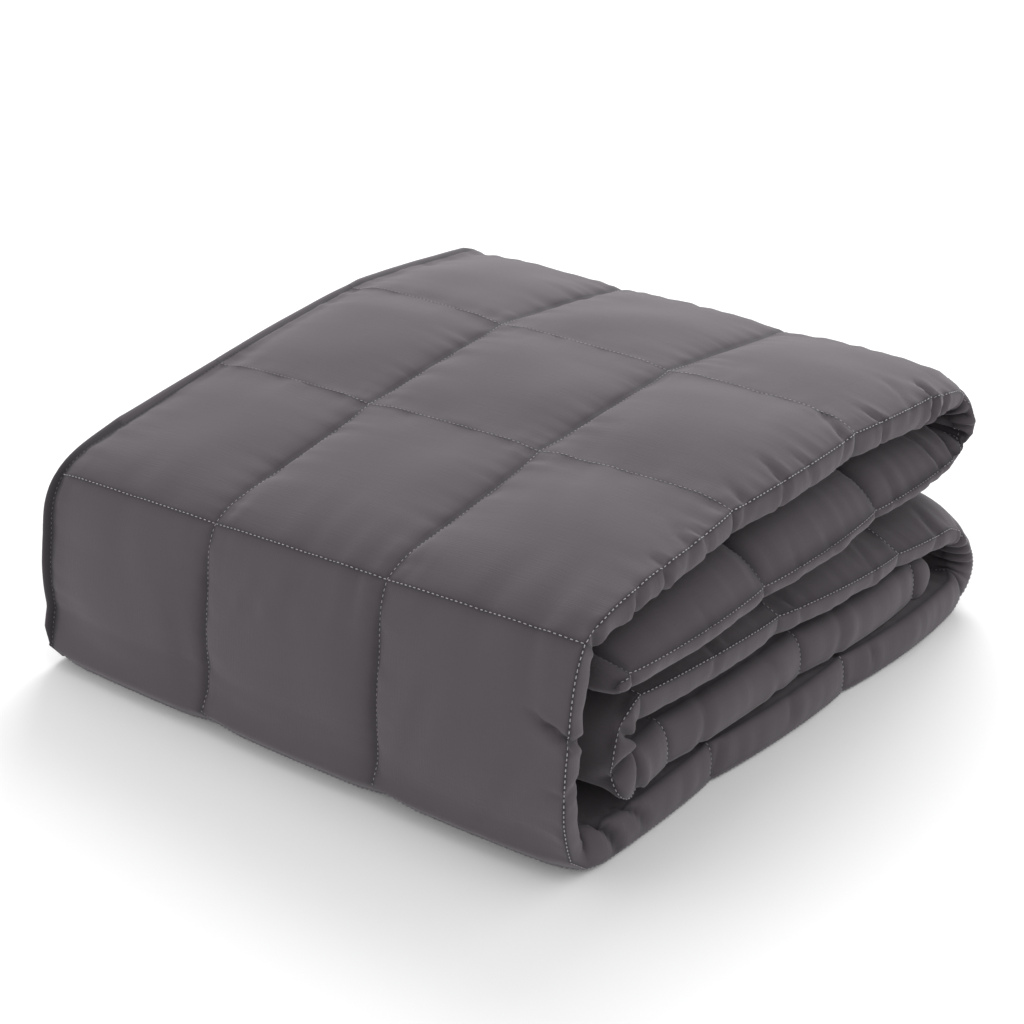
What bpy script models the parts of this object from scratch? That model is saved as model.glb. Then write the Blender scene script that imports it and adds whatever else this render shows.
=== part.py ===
"""A quilted weighted blanket, folded lengthways to a strip three squares wide and then back and forth.

The strip is one solid. Its middle line runs through the stack from the loose end under the top layer,
round the back, over the top, down the front, along the floor, round the back again and into the core.
A closed section is swept along that line: a crowned outer face, a crowned inner face and two folded rims.
"""

import math
from bisect import bisect_right
from collections import namedtuple

import bmesh
import bpy
from mathutils import Vector

NAME = "folded_blanket"

# The quilting, in metres
SQUARE = 0.127  # a five inch square
SQUARES_ACROSS = 3
SEAM_DIP = 0.0072  # how far a sewn line is drawn in from the crown of a square
PUFF = 0.60  # under 1 the crown rises steeply from the seam and is flat in the middle
SCALLOP = 0.0040  # the rim stands out between cross seams and is pinched at them
PINCHED = 0.3  # share of the rim's roundness that is left on a cross seam

# The stack
TIP_LENGTH = 0.016  # the loose ends round off over this length
TIP_THINNEST = 0.42
TIGHTEST = 0.78  # share of a turn's radius that its inner side may fill
LEFT_SETTLE = 0.145  # the front left is pressed lower, as a share of its height
SETTLE_REACH = 0.27  # and rises again over this distance towards the back
SETTLE_EASE = 1.3  # slowly at first
FLAT_SEAMS = 0.50  # a cross seam stretched round the front's edges is drawn in less, by this share
FOOT_LEFT, FOOT_RIGHT = 0.015, -0.007  # how far forward the foot of the front stands at its two ends
FOOT_HEIGHT = 0.045
FOOT_SPREAD = 0.6  # under 1 most of the foot stands as far forward as the left end
FRONT_EDGE, BACK_EDGE = 0.060, 0.20  # a turn is at the front up to the one, at the back from the other

# How finely the surface is made
ACROSS_STOPS = (0.0, 0.11, 0.35, 0.65, 0.89)  # places across one square
SEAM_SHOULDER = 0.013  # the first stop beside a cross seam
RUN_STEP = 0.034
TURN_STEP = math.radians(25)
RIM_STEPS = 4

# One row for each run of the strip, from the loose end to the end in the core. Back is the distance from
# the front of the stack, up the height above the floor. Bow is how far the middle of the run stands
# towards its outer face. First seam is the distance from the start of the run to its first cross seam.
# Turn seams are the places of the cross seams in the turn that follows, as shares of that turn, and corner
# is how square that turn is, with 1 for a round one.
Run = namedtuple(
    "Run", "name back up end_back end_up bow half end_half swell first_seam turn_seams corner"
)
RUNS = (
    Run("second", 0.0160, 0.112, 0.383, 0.104, -0.0090, 0.0160, 0.0165, 0.003, 0.0085, (0.20, 0.80), 1.00),
    Run("top", 0.383, 0.1425, 0.051, 0.1465, 0.0130, 0.0170, 0.0155, 0.001, 0.125, (0.56,), 1.45),
    Run("front", -0.0045, 0.098, -0.006, 0.032, 0.0030, 0.0140, 0.0145, 0.000, None, (0.60,), 2.00),
    Run("bottom", 0.014, 0.0120, 0.368, 0.0120, 0.0000, 0.0145, 0.0145, 0.000, 0.101, (0.12,), 1.05),
    Run("middle", 0.362, 0.066, 0.0455, 0.079, 0.0070, 0.0150, 0.0150, 0.001, 0.059, (), 1.00),
    Run("core", 0.0455, 0.046, 0.348, 0.039, -0.0030, 0.0150, 0.0140, 0.000, 0.030, (), 1.00),
)

# The rims of each run. A rim is the band between the edge of the outer face and the edge of the inner face.
# Outer edge and inner edge are their heights above the middle line, towards the outer face, at the run's
# start and end, and sag is how much further that way both lie in the middle of the run. Fold is how far the
# inner edge is drawn in from the outer one. A slope is 1 where a face slopes to the rim from far in and 0
# where it stays full up to it. Out is how far the rim stands past its place on the flat strip.
Rim = namedtuple(
    "Rim", "outer_edge end_outer_edge inner_edge end_inner_edge sag fold bulge slope inner_slope out end_out"
)
RIMS = (
    Rim(0.0070, 0.0060, -0.0040, 0.0000, 0.0115, -0.003, 0.003, 0.15, 0.5, 0.0080, 0.0070),
    Rim(0.0085, 0.0100, -0.0095, -0.0060, -0.0055, 0.006, 0.004, 0.70, 0.4, 0.0040, 0.0000),
    Rim(0.0115, 0.0115, -0.0070, -0.0070, 0.0000, 0.012, 0.002, 0.60, 0.4, 0.0000, 0.0000),
    Rim(0.0110, 0.0110, -0.0125, -0.0120, 0.0000, 0.004, 0.004, 0.10, 0.1, 0.0000, 0.0230),
    Rim(-0.0030, 0.0090, -0.0145, -0.0090, -0.0060, 0.006, 0.003, 1.00, 0.4, 0.0170, 0.0010),
    Rim(0.0140, 0.0145, -0.0110, -0.0110, 0.0020, 0.010, 0.005, 0.10, 0.4, 0.0010, 0.0150),
)
TURN_FOLD = 0.010  # where the strip turns, a rim's inner edge is drawn further in
TURN_DEPTH = 0.006  # and nearer to the middle of the turn
TURN_SINK = 0.008  # in the turns at the back the right stitch line sinks below the outer face
TURN_OUT = 0.003  # and the rim stands out further
TURN_FULL = 0.3  # and the outer face slopes to it less, by this share
FOOT_SINK = 0.005  # the stitch line also sinks at the foot of the front
LEFT_WELT = 0.009  # the left rim swells up and out past its sewn line
TURN_WELT = 0.5  # and this share less in the turns at the back
FOOT_WELT = 0.6  # and this share less in the turn at the foot
SHOULDER_WELT = 0.2  # and this share more at the front's shoulder
SHOULDER_HEIGHT = 0.09  # a turn at the front is the shoulder from here up
SHOULDER_LIFT = 0.003  # the shoulder is sharper at the left
LIFT_REACH = 0.35  # up to this share of the way across
FULL_FALL, SLOPING_FALL = 9.0, 2.2  # how late the outer face falls to the rim line, full or sloping
FULL_PUFF, SLOPING_PUFF = 0.40, 1.20

Spot = namedtuple("Spot", "back up half outer_edge inner_edge fold bulge slope inner_slope out turning")


def mix(a, b, share):
    return a + (b - a) * share


def ease(share):
    return share * share * (3.0 - 2.0 * share)


def puff(share, power=PUFF):
    """Height of a square's crown between its seams, 0 on a seam and 1 in the middle."""
    return max(math.sin(math.pi * share), 0.0) ** power


def on_run(run, share):
    """A point of the run's middle line."""
    length = math.hypot(run.end_back - run.back, run.end_up - run.up)
    outward = ((run.end_up - run.up) / length, -(run.end_back - run.back) / length)
    rise = run.bow * math.sin(math.pi * share)
    return (
        mix(run.back, run.end_back, share) + outward[0] * rise,
        mix(run.up, run.end_up, share) + outward[1] * rise,
    )


def heading(run, share):
    """The direction in which the run's middle line goes."""
    step = 0.01
    low, high = max(share - step, 0.0), min(share + step, 1.0)
    a, b = on_run(run, low), on_run(run, high)
    length = math.hypot(b[0] - a[0], b[1] - a[1])
    return (b[0] - a[0]) / length, (b[1] - a[1]) / length


def on_turn(run, following, share):
    """A point of the round turn from the end of one run to the start of the next."""
    start, finish = on_run(run, 1.0), on_run(following, 0.0)
    leave, arrive = heading(run, 1.0), heading(following, 0.0)
    angle = math.acos(max(-1.0, min(1.0, leave[0] * arrive[0] + leave[1] * arrive[1])))
    reach = math.dist(start, finish) * 2.0 / 3.0 * math.tan(angle / 4.0) / math.sin(angle / 2.0)
    reach *= run.corner
    weights = ((1 - share) ** 3, 3 * share * (1 - share) ** 2, 3 * share**2 * (1 - share), share**3)
    return tuple(
        weights[0] * start[i]
        + weights[1] * (start[i] + leave[i] * reach)
        + weights[2] * (finish[i] - arrive[i] * reach)
        + weights[3] * finish[i]
        for i in (0, 1)
    )


def run_spot(index, share):
    run, rim = RUNS[index], RIMS[index]
    arch = math.sin(math.pi * share)
    return Spot(
        *on_run(run, share),
        half=mix(run.half, run.end_half, share) + run.swell * arch,
        outer_edge=mix(rim.outer_edge, rim.end_outer_edge, share) + rim.sag * arch,
        inner_edge=mix(rim.inner_edge, rim.end_inner_edge, share) + rim.sag * arch,
        fold=rim.fold,
        bulge=rim.bulge,
        slope=rim.slope,
        inner_slope=rim.inner_slope,
        out=mix(rim.out, rim.end_out, ease(share)),
        turning=0.0,
    )


def turn_spot(index, share):
    before, after = run_spot(index, 1.0), run_spot(index + 1, 0.0)
    blended = [mix(a, b, ease(share)) for a, b in zip(before[2:], after[2:])]
    blended[-1] = math.sin(math.pi * share)
    return Spot(*on_turn(RUNS[index], RUNS[index + 1], share), *blended)


def middle_line(samples=60):
    """The strip's middle line as spots, how far along each one is, and where its cross seams are."""
    spots, seams, marks = [], [], []
    for index, run in enumerate(RUNS):
        spots += [run_spot(index, i / samples) for i in range(samples)]
        length = math.dist(on_run(run, 0.0), on_run(run, 1.0))
        place = run.first_seam
        while place is not None and place < length:
            marks.append((index * 2 * samples) + place / length * samples)
            place += SQUARE
        if index + 1 < len(RUNS):
            spots += [turn_spot(index, i / samples) for i in range(samples)]
            marks += [(index * 2 + 1 + seam) * samples for seam in run.turn_seams]
    spots.append(run_spot(len(RUNS) - 1, 1.0))
    along = [0.0]
    for a, b in zip(spots, spots[1:]):
        along.append(along[-1] + math.dist(a[:2], b[:2]))
    for mark in marks:
        seams.append(mix(along[int(mark)], along[int(mark) + 1], mark % 1.0))
    return spots, along, seams


class Strip:
    """The folded strip: gives the frame, thickness and crown at any distance along its middle line."""

    def __init__(self):
        self.spots, self.along, self.seams = middle_line()
        self.length = self.along[-1]
        self.edges = [0.0, *self.seams, self.length]

    def spot(self, place):
        i = min(bisect_right(self.along, place), len(self.along) - 1) - 1
        i = max(i, 0)
        share = (place - self.along[i]) / (self.along[i + 1] - self.along[i])
        return Spot(*(mix(a, b, share) for a, b in zip(self.spots[i], self.spots[i + 1])))

    def direction(self, place, step=0.002):
        a, b = self.spot(max(place - step, 0.0)), self.spot(min(place + step, self.length))
        length = math.dist(a[:2], b[:2])
        return (b.back - a.back) / length, (b.up - a.up) / length

    def bend(self, place, step=0.004):
        """How sharply the middle line turns here, in radians for each metre."""
        a = self.direction(max(place - step, 0.0))
        b = self.direction(min(place + step, self.length))
        return abs(math.atan2(a[0] * b[1] - a[1] * b[0], a[0] * b[0] + a[1] * b[1])) / (2 * step)

    def crown(self, place):
        """0 on a cross seam, 1 in the middle of a square. A cut end has no seam."""
        i = min(max(bisect_right(self.edges, place), 1), len(self.edges) - 1)
        low, high = self.edges[i - 1], self.edges[i]
        share = (place - low) / (high - low)
        if i == 1:
            share = 0.5 + share / 2
        elif i == len(self.edges) - 1:
            share = share / 2
        return puff(share)

    def tip(self, place):
        """1 along the strip, falling in a round nose to the thinnest share at its two ends."""
        near_end = min(place, self.length - place, TIP_LENGTH) / TIP_LENGTH
        return mix(TIP_THINNEST, 1.0, math.sqrt(1.0 - (1.0 - near_end) ** 2))

    def stops(self):
        """Where the sections stand: on each seam, beside it, and closer together in the turns."""
        places = []
        for low, high in zip(self.edges, self.edges[1:]):
            places.append(low)
            if high - low < 2 * SEAM_SHOULDER:
                continue
            shoulder = min(SEAM_SHOULDER, (high - low) / 4)
            start, finish = low + shoulder, high - shoulder
            grid = [start + (finish - start) * i / 80 for i in range(81)]
            weight = [0.0]
            for a, b in zip(grid, grid[1:]):
                weight.append(weight[-1] + (b - a) * (1 / RUN_STEP + self.bend((a + b) / 2) / TURN_STEP))
            count = max(math.ceil(weight[-1]), 2)
            picks = [bisect_right(weight, weight[-1] * i / count) - 1 for i in range(count)]
            places += [grid[i] for i in picks] + [finish]
        ends = [i / 3 * TIP_LENGTH for i in (1, 2)]
        places += ends + [self.length - end for end in ends] + [self.length]
        places.sort()
        return [p for p, q in zip(places, places[1:] + [math.inf]) if q - p > 0.0035]


def across_heights(half, level, dip, crown, edges, slope):
    """Places across the strip and the height of a face there, from one rim line to the other."""
    found = []
    fall = mix(FULL_FALL, SLOPING_FALL, slope)
    rim_puff = mix(FULL_PUFF, SLOPING_PUFF, slope)
    for square in range(SQUARES_ACROSS):
        for stop in ACROSS_STOPS:
            share = (square + stop) / SQUARES_ACROSS
            near_rim = max(abs(2 * share - 1) * SQUARES_ACROSS - (SQUARES_ACROSS - 1), 0.0)
            base = mix(half - dip, edges[round(share)], near_rim**fall)
            power = mix(PUFF, rim_puff, near_rim)
            found.append((share, base + dip * puff(stop, power) * crown))
    found.append((1.0, edges[1]))
    return [(share, height * level) for share, height in found]


def rim_curve(start, finish, bulge, welt=0.0):
    """The folded rim, a round curve from its stitch line to where it turns in under the inner face."""
    rise = start[1] - finish[1]
    bulge += welt
    first = (start[0] + bulge, start[1] - 0.4 * rise + 2.0 * welt)
    second = (mix(start[0], finish[0], 0.15) + bulge, finish[1])
    points = []
    for i in range(1, RIM_STEPS):
        t = i / RIM_STEPS
        weights = ((1 - t) ** 3, 3 * t * (1 - t) ** 2, 3 * t**2 * (1 - t), t**3)
        points.append(tuple(
            w0 * a + w1 * b + w2 * c + w3 * d
            for (w0, w1, w2, w3), a, b, c, d in [
                (weights, start[k], first[k], second[k], finish[k]) for k in (0, 1)
            ]
        ))
    return points


def section(strip, place):
    """The closed section at one place: points as (across, height above the middle line)."""
    spot, crown, tip = strip.spot(place), strip.crown(place), strip.tip(place)
    bend = strip.bend(place)
    inner_half = min(spot.half, TIGHTEST / bend) if bend > 1.0 else spot.half
    width = SQUARE * SQUARES_ACROSS
    out = spot.out - (1.0 - tip) * TIP_LENGTH / 2
    inner_edge = max(spot.inner_edge - TURN_DEPTH * spot.turning, -inner_half)
    fold = spot.fold + TURN_FOLD * spot.turning
    stretched = spot.turning * max(1.0 - spot.back / FRONT_EDGE, 0.0)
    at_foot = stretched * max(1.0 - spot.up / FOOT_HEIGHT, 0.0)
    at_shoulder = stretched if spot.up > SHOULDER_HEIGHT else 0.0
    dip = SEAM_DIP * (1.0 - FLAT_SEAMS * stretched)
    back_turning = spot.turning * min(max(spot.back, 0.0) / BACK_EDGE, 1.0)
    right_edge = spot.outer_edge - TURN_SINK * back_turning - FOOT_SINK * at_foot
    slope = spot.slope * (1.0 - TURN_FULL * back_turning)
    outer = across_heights(spot.half, 1.0, dip, crown, (spot.outer_edge, right_edge), slope)
    dip = min(SEAM_DIP, inner_half / 3)
    inner = across_heights(inner_half, -1.0, dip, crown, (-inner_edge, -inner_edge), spot.inner_slope)
    right_x = width / 2 + out + TURN_OUT * back_turning + SCALLOP * (crown - 0.6)
    left_x = -width / 2 - out
    lift = SHOULDER_LIFT * at_shoulder
    outer = [(share, height + lift * max(1.0 - share / LIFT_REACH, 0.0) ** 2) for share, height in outer]
    outer = [(mix(left_x, right_x, share), height * tip) for share, height in outer]
    inner = [(mix(right_x - fold, left_x + fold, share), height * tip) for share, height in inner]
    bulge = spot.bulge * mix(PINCHED, 1.0, crown)
    right = rim_curve(outer[-1], inner[0], bulge)
    welt = 1.0 - TURN_WELT * back_turning - FOOT_WELT * at_foot + SHOULDER_WELT * at_shoulder
    welt *= LEFT_WELT * tip
    left = rim_curve((-outer[0][0], outer[0][1]), (-inner[-1][0], inner[-1][1]), bulge, welt)
    left = [(-x, height) for x, height in reversed(left)]
    return outer, right, inner, left


def in_space(strip, place, point):
    """A section point in the stack's own place: across, back and up."""
    spot, (ahead_back, ahead_up) = strip.spot(place), strip.direction(place)
    across, height = point
    back = spot.back + ahead_up * height
    up = max(spot.up - ahead_back * height, 0.0)
    leftward = 0.5 - across / (SQUARE * SQUARES_ACROSS)
    from_front = min(max(back, 0.0) / SETTLE_REACH, 1.0)
    near_foot = (1.0 - from_front) ** 4 * max(1.0 - up / FOOT_HEIGHT, 0.0)
    back -= mix(FOOT_RIGHT, FOOT_LEFT, min(max(leftward, 0.0), 1.0) ** FOOT_SPREAD) * near_foot
    return Vector((across, back, up * (1.0 - LEFT_SETTLE * leftward * (1.0 - from_front**SETTLE_EASE))))


def add_end(work, outer, right, inner, left):
    """Closes the strip at a loose end with a band of faces between its two sides."""
    inner = inner[::-1]
    for a, b, c, d in zip(outer, outer[1:], inner[1:], inner):
        work.faces.new((a, b, c, d))
    work.faces.new((outer[-1], *right, inner[-1]))
    work.faces.new((inner[0], *left, outer[0]))


def blanket_mesh():
    strip = Strip()
    work = bmesh.new()
    loops, ends = [], []
    for place in strip.stops():
        parts = [
            [work.verts.new(in_space(strip, place, point)) for point in side]
            for side in section(strip, place)
        ]
        loops.append([vert for side in parts for vert in side])
        ends.append(parts)
    for loop, following in zip(loops, loops[1:]):
        for i in range(len(loop)):
            j = (i + 1) % len(loop)
            work.faces.new((loop[i], loop[j], following[j], following[i]))
    add_end(work, *ends[0])
    add_end(work, *ends[-1])
    bmesh.ops.triangulate(work, faces=work.faces)
    bmesh.ops.recalc_face_normals(work, faces=work.faces)
    stand_on_origin(work)
    mesh = bpy.data.meshes.new(NAME)
    work.to_mesh(mesh)
    work.free()
    return mesh


def stand_on_origin(work):
    """Moves the stack so that the middle of its base is at the origin."""
    for axis in (0, 1):
        places = [vert.co[axis] for vert in work.verts]
        middle = (min(places) + max(places)) / 2
        for vert in work.verts:
            vert.co[axis] -= middle


def cotton():
    material = bpy.data.materials.new("grey_cotton")
    material.use_nodes = True
    shader = material.node_tree.nodes["Principled BSDF"]
    shader.inputs["Base Color"].default_value = (0.125, 0.115, 0.120, 1.0)
    shader.inputs["Roughness"].default_value = 0.9
    shader.inputs["Metallic"].default_value = 0.0
    return material


def main():
    for obj in list(bpy.data.objects):
        bpy.data.objects.remove(obj, do_unlink=True)
    collection = bpy.data.collections.new("weighted_blanket")
    bpy.context.scene.collection.children.link(collection)
    mesh = blanket_mesh()
    mesh.materials.append(cotton())
    mesh.shade_smooth()
    mesh.set_sharp_from_angle(angle=math.radians(60))
    blanket = bpy.data.objects.new(NAME, mesh)
    collection.objects.link(blanket)


main()
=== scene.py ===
"""The looks of a folded weighted blanket: dark grey cotton, quilted in five inch squares with pale thread.

The blanket is one filled strip, folded back and forth. Its middle line, thickness and rims are worked out
from the same tables as the solid that it stands for, and here its skin has the finer shape: pillows between
the seams, puckers beside them, creases in the hem and soft folds. Lengths are in metres.
"""

import math
from bisect import bisect_right
from collections import namedtuple

import bpy
import numpy as np
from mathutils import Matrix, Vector, noise


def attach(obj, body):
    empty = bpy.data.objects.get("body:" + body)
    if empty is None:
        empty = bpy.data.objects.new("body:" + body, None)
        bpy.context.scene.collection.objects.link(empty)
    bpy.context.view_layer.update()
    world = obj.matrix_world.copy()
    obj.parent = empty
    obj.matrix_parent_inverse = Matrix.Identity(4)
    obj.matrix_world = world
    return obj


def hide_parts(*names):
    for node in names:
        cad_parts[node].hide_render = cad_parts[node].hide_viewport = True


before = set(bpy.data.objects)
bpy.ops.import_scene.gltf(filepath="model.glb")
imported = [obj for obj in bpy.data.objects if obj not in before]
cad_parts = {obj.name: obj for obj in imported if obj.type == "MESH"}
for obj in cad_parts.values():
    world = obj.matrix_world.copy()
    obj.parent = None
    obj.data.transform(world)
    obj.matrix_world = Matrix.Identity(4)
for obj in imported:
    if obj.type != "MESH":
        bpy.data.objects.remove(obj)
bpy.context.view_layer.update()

NODE = "folded_blanket"

# ---- The quilting ----

SQUARE = 0.127  # a five inch square
SQUARES_ACROSS = 3
WIDTH = SQUARE * SQUARES_ACROSS
SEAM_DIP = 0.0072  # how far a sewn line is drawn in from the crown of a square
PUFF = 0.60  # under 1 the crown rises steeply from the seam and is flat in the middle
SCALLOP = 0.0040  # the rim stands out between cross seams and is pinched at them
SCALLOP_LEVEL = 0.6  # share of the crown at which the rim is neither out nor in
PINCHED = 0.3  # share of the rim's roundness that is left on a cross seam

# ---- The stack ----

TIP_LENGTH = 0.016  # the loose ends round off over this length
TIP_THINNEST = 0.42
TIGHTEST = 0.78  # share of a turn's radius that its inner side may fill
LEFT_SETTLE = 0.145  # the front left is pressed lower, as a share of its height
SETTLE_REACH = 0.27  # and rises again over this distance towards the back
SETTLE_EASE = 1.3  # slowly at first
FLAT_SEAMS = 0.50  # a cross seam stretched round the front's edges is drawn in less, by this share
FOOT_LEFT, FOOT_RIGHT = 0.015, -0.007  # how far forward the foot of the front stands at its two ends
FOOT_HEIGHT = 0.045
FOOT_SPREAD = 0.6  # under 1 most of the foot stands as far forward as the left end
FOOT_FALL = 4  # how soon that runs out towards the back
FRONT_EDGE, BACK_EDGE = 0.060, 0.20  # a turn is at the front up to the one, at the back from the other

# One row for each run of the strip, from the loose end to the end in the core.
Run = namedtuple(
    "Run", "name back up end_back end_up bow half end_half swell first_seam turn_seams corner"
)
RUNS = (
    Run("second", 0.0160, 0.112, 0.383, 0.104, -0.0090, 0.0160, 0.0165, 0.003, 0.0085, (0.20, 0.80), 1.00),
    Run("top", 0.383, 0.1425, 0.051, 0.1465, 0.0130, 0.0170, 0.0155, 0.001, 0.125, (0.56,), 1.45),
    Run("front", -0.0045, 0.098, -0.006, 0.032, 0.0030, 0.0140, 0.0145, 0.000, None, (0.60,), 2.00),
    Run("bottom", 0.014, 0.0120, 0.368, 0.0120, 0.0000, 0.0145, 0.0145, 0.000, 0.101, (0.12,), 1.05),
    Run("middle", 0.362, 0.066, 0.0455, 0.079, 0.0070, 0.0150, 0.0150, 0.001, 0.059, (), 1.00),
    Run("core", 0.0455, 0.046, 0.348, 0.039, -0.0030, 0.0150, 0.0140, 0.000, 0.030, (), 1.00),
)
SECOND, TOP, FRONT, BOTTOM, MIDDLE, CORE = range(6)

# The rims of each run, as bands between the edges of the outer and the inner face.
Rim = namedtuple(
    "Rim", "outer_edge end_outer_edge inner_edge end_inner_edge sag fold bulge slope inner_slope out end_out"
)
RIMS = (
    Rim(0.0070, 0.0060, -0.0040, 0.0000, 0.0115, -0.003, 0.003, 0.15, 0.5, 0.0080, 0.0070),
    Rim(0.0085, 0.0100, -0.0095, -0.0060, -0.0055, 0.006, 0.004, 0.70, 0.4, 0.0040, 0.0000),
    Rim(0.0115, 0.0115, -0.0070, -0.0070, 0.0000, 0.012, 0.002, 0.60, 0.4, 0.0000, 0.0000),
    Rim(0.0110, 0.0110, -0.0125, -0.0120, 0.0000, 0.004, 0.004, 0.10, 0.1, 0.0000, 0.0230),
    Rim(-0.0030, 0.0090, -0.0145, -0.0090, -0.0060, 0.006, 0.003, 1.00, 0.4, 0.0170, 0.0010),
    Rim(0.0140, 0.0145, -0.0110, -0.0110, 0.0020, 0.010, 0.005, 0.10, 0.4, 0.0010, 0.0150),
)
TURN_FOLD = 0.010  # where the strip turns, a rim's inner edge is drawn further in
TURN_DEPTH = 0.006  # and nearer to the middle of the turn
TURN_SINK = 0.008  # in the turns at the back the right stitch line sinks below the outer face
TURN_OUT = 0.003  # and the rim stands out further
TURN_FULL = 0.3  # and the outer face slopes to it less, by this share
FOOT_SINK = 0.005  # the stitch line also sinks at the foot of the front
CORNER_SINK = 0.006  # and at the far corner of the top
CORNER_REACH = 0.042  # from this far on either side
LEFT_WELT = 0.009  # the left rim swells up and out past its sewn line
TURN_WELT = 0.5  # and this share less in the turns at the back
FOOT_WELT = 0.6  # and this share less in the turn at the foot
SHOULDER_WELT = 0.2  # and this share more at the front's shoulder
SHOULDER_HEIGHT = 0.09  # a turn at the front is the shoulder from here up
SHOULDER_LIFT = 0.003  # the shoulder is sharper at the left
LIFT_REACH = 0.35  # up to this share of the way across
FULL_FALL, SLOPING_FALL = 9.0, 2.2  # how late the outer face falls to the rim line, full or sloping
FULL_PUFF, SLOPING_PUFF = 0.40, 1.20
DEEPEST_PART = 3  # a seam draws in no more than this part of the inner half thickness
RIM_DROP, RIM_TUCK = 0.4, 0.15  # where the handles of the rim's curve stand
WELT_RISE = 2.0  # how far the left rim swells up for each metre that it swells out

# ---- How finely the skin is made ----

OUTER_STEPS = (24, 24, 28)  # across the squares of the outer face, from the left rim to the right one
INNER_STEPS = (12, 6, 14)
SEAM_CROWDING = 0.60  # the steps are this much shorter beside a seam
RIM_STEPS = 12
RUN_STEP = 0.0036
RUN_CROWDING = 0.40
FINE_GRID = 160  # places at which each square's spacing is weighed
TURN_STEP = math.radians(8)
SHORTEST_STEP = 0.0009

# ---- Puckers and creases ----

PUCKER_LENGTH = 0.0085  # from one pucker to the next, along a seam
PUCKER_DEPTH = 0.0015
PUCKER_REACH = 0.011  # how far from its seam a pucker fades
PUCKER_SHARES = (1.5, 0.5)  # of its long wave and its short one
SHORT_WAVE = 2.3  # how many short waves go into a long one
NOISE_ROWS = (7.31, 3.17)  # how far apart two seams read the noise, for each wave
SHORT_LAYER = 5.0
SEAM_FLAT, CROSSING_FLAT = 0.004, 0.006  # a pucker is flat this near its seam, or a crossing
FOOT_PUCKERS = 0.15  # share of a pucker that is left where the cotton is stretched round the foot
HEM_PUCKER_DEPTH, HEM_REACH = 0.0012, 1.2
LONG_PULL = 0.0014  # the thread pulls the cotton further in right at a long seam
CROSS_EASE = 0.0026  # and less far in at a cross seam
INNER_PULL, INNER_REACH = 0.0022, 0.004  # and further in at a cross seam of the inner face
PULL_REACH = 0.007
PULL_FLAT, INNER_FLAT = 0.02, 0.01  # these pulls start this far from a crossing
LEFT_PUCKER_DEPTH = 0.0003
RIM_WAVE = 0.028  # the rim's own longer waves
RIM_WAVE_DEPTH = 0.0014
RIM_PUCKER_DEPTH = 0.0005
RIM_FLAT = 0.005  # the rim is pinched this near a cross seam
SECOND_FULLER = 0.0025  # the hem of the second layer is rounder
FULLER_EASE = 0.05  # which runs out over this distance before the turn
LUMP_LENGTH = 0.055  # the fill's own unevenness
LUMP_DEPTH, LUMP_LAYER = 0.0022, 20.0
PILLOW_EDGE = 0.03  # the lumps fade this near a seam
RIM_SPAN = 0.020  # the rim's own width, on the way round from the outer face to the inner one
DEEP_CREASE = 0.004  # a crease as deep as this is painted quite dark, as shade
CREASE_HEAP, HEAP_PLACE = 0.35, 1.7  # the cloth heaped up beside a crease: how high, and how many widths off
CREASE_SPAN, CREASE_FADE = 4.0, 0.7
LONGEST_CREASE, NEAR_CREASE = 0.07, 0.04  # no crease reaches farther than this, round the rim and along it
FOLD_HEAP, FOLD_HEAP_PLACE = 0.5, 1.6
LEFT_GROOVE_DEPTH, TOP_GROOVE_DEPTH = 0.0016, -0.0028  # the left rim's stitches pull a groove
GROOVE_EASE = 0.08  # which runs out over this distance along the top
LEFT_GROOVE_WIDTH = 0.0045

# A number of its own for each line of puckers.
INNER_LINES, CROSS_LINES, INNER_CROSS_LINES = 40, 100, 300
RIM_WAVE_LINE, RIM_PUCKER_LINE, LEFT_RIM_LINE = 500, 520, 600

# The shade painted along a seam's groove is wider where the distance to it is made less, by these shares; the
# distance taken off at the left hem makes its painted shade darker still.
SEAM_LINE_WIDENED, LEFT_SIDE_WIDENED, INNER_LINE_WIDENED = 0.8, 0.42, 0.5
FRONT_LINE_WIDENED, TOP_LINE_WIDENED, LEFT_LINE_DARKENED = 0.45, 1.4, 0.0007

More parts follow.
